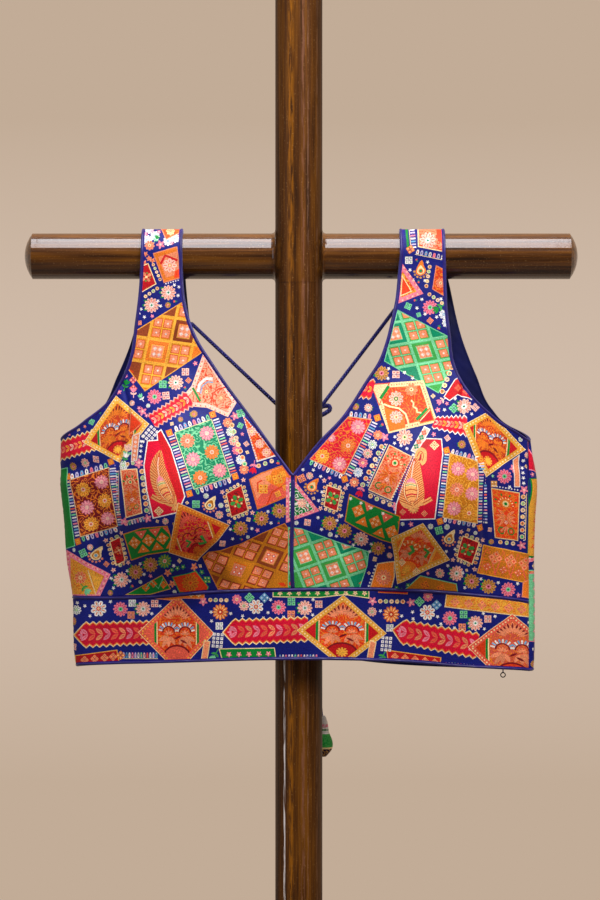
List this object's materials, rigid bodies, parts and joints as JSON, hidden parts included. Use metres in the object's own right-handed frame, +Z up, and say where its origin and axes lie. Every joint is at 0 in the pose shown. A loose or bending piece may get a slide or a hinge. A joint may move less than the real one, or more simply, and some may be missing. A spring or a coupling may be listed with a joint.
{
  "type": "choli blouse on wooden cross rail",
  "caption": "Cropped sleeveless choli blouse of patterned navy brocade with cups, piping and back ties, hanging on a round wooden cross rail.",
  "frame": {"origin": "middle of the post's foot, where the post is held", "axes": "+Z up the post, +X along the rail to the viewer's right, -Y the blouse's front"},
  "size_m": [0.471, 0.1297, 0.8],
  "materials": {
    "brocade": "printed and woven brocade with a soft sheen",
    "piping": "satin",
    "cord": "satin",
    "tassel": "stitched brocade",
    "varnished_wood": "dark varnish",
    "black_metal": "black enamel"
  },
  "bodies": {
    "root": {"post": "varnished_wood", "rail": "varnished_wood", "front_centre_left": "brocade", "front_centre_right": "brocade", "front_side_left": "brocade", "front_side_right": "brocade", "band_front": "brocade", "back": "brocade", "neck_piping": "piping", "armhole_piping_left": "piping", "armhole_piping_right": "piping", "hem_piping": "piping", "underbust_piping": "piping", "centre_piping": "piping", "dori_left": "cord", "dori_right": "cord", "dori_knot": "cord", "tail_left": "cord", "tail_right": "cord", "latkan_left": "tassel", "latkan_right": "tassel", "hook_eye": "black_metal"}
  },
  "joints": []
}
